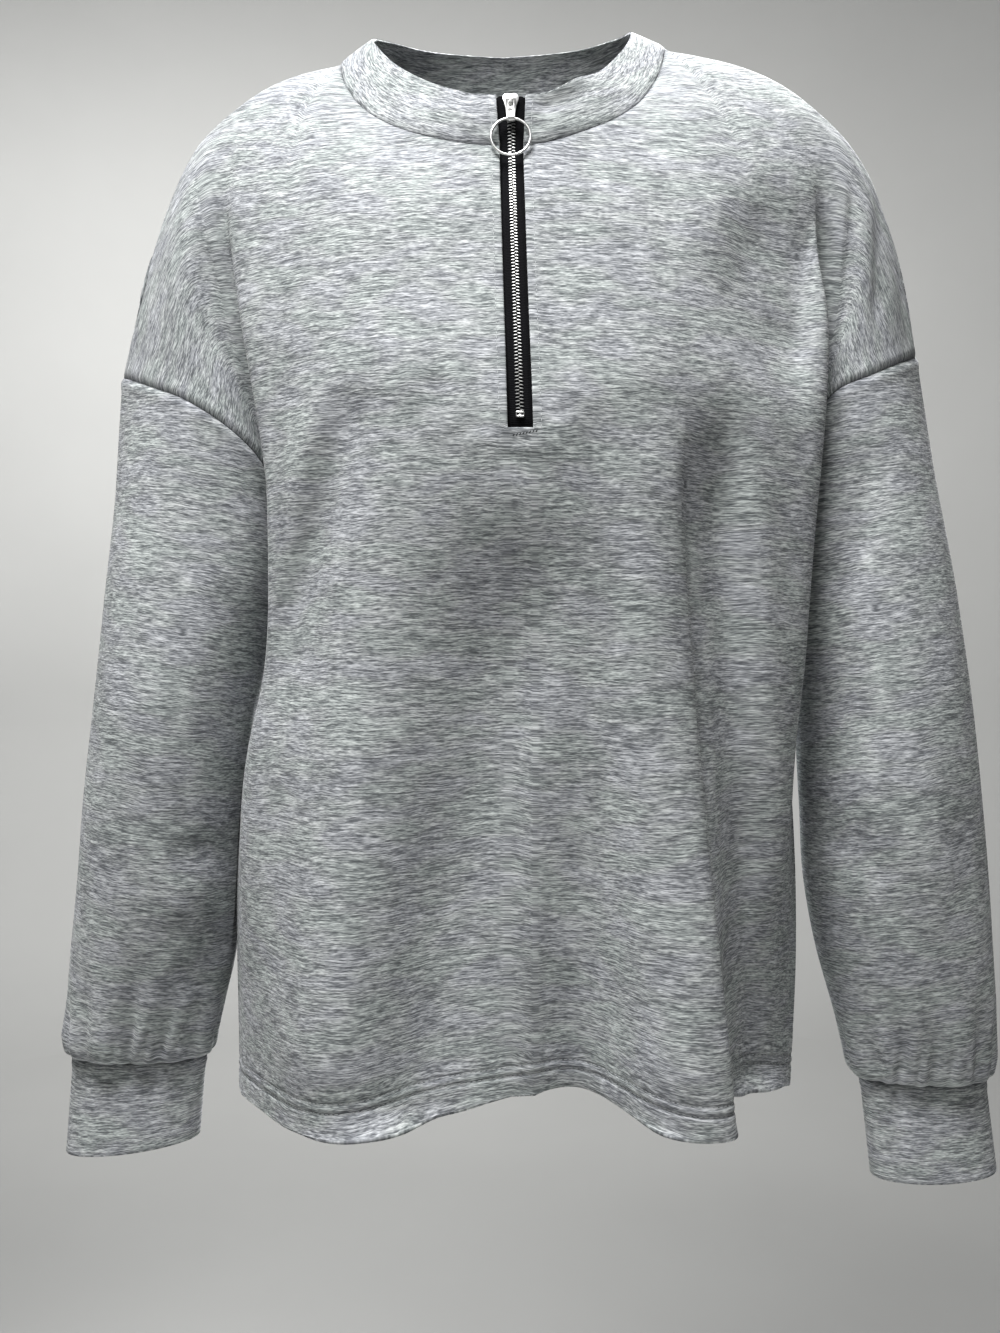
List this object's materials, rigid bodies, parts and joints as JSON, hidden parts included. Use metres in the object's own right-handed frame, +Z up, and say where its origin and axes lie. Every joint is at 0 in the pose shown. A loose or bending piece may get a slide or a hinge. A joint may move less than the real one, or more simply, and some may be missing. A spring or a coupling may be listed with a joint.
{
  "type": "quarter zip sweatshirt",
  "caption": "Loose heather-grey jersey sweatshirt with drop shoulders, long gathered sleeves with plain cuffs, a low collar and a short front zip with a ring pull.",
  "frame": {"origin": "middle of the neck opening, level with the shoulder seams where they meet the collar, where the garment is held when worn", "axes": "+Z up along the body, -Y out of the front where the zip is, +X to the wearer's left"},
  "size_m": [0.5925, 0.2446, 0.736],
  "materials": {
    "heather_jersey": "soft brushed heather jersey knit",
    "black_tape": "matt woven zip tape",
    "silver_metal": "polished silver-coloured zip metal"
  },
  "bodies": {
    "garment": {"front": "heather_jersey", "back": "heather_jersey", "sleeve_right": "heather_jersey", "sleeve_left": "heather_jersey", "cuff_right": "heather_jersey", "cuff_left": "heather_jersey", "collar": "heather_jersey", "zip_tape_right": "black_tape", "zip_tape_left": "black_tape", "zip_slider": "silver_metal", "zip_stop": "silver_metal"},
    "pull_link": {"pull_link": "silver_metal"},
    "pull_ring": {"pull_ring": "silver_metal"}
  },
  "joints": [
    {"name": "link_hinge", "type": "hinge", "parent": "garment", "child": "pull_link", "pos_m": [-0.0002, -0.07427, -0.05841], "axis": [-1, 0, 0], "range_deg": [0, 120]},
    {"name": "ring_hinge", "type": "hinge", "parent": "pull_link", "child": "pull_ring", "pos_m": [-0.0002, -0.07631, -0.07031], "axis": [-1, 0, 0], "range_deg": [0, 90]}
  ]
}
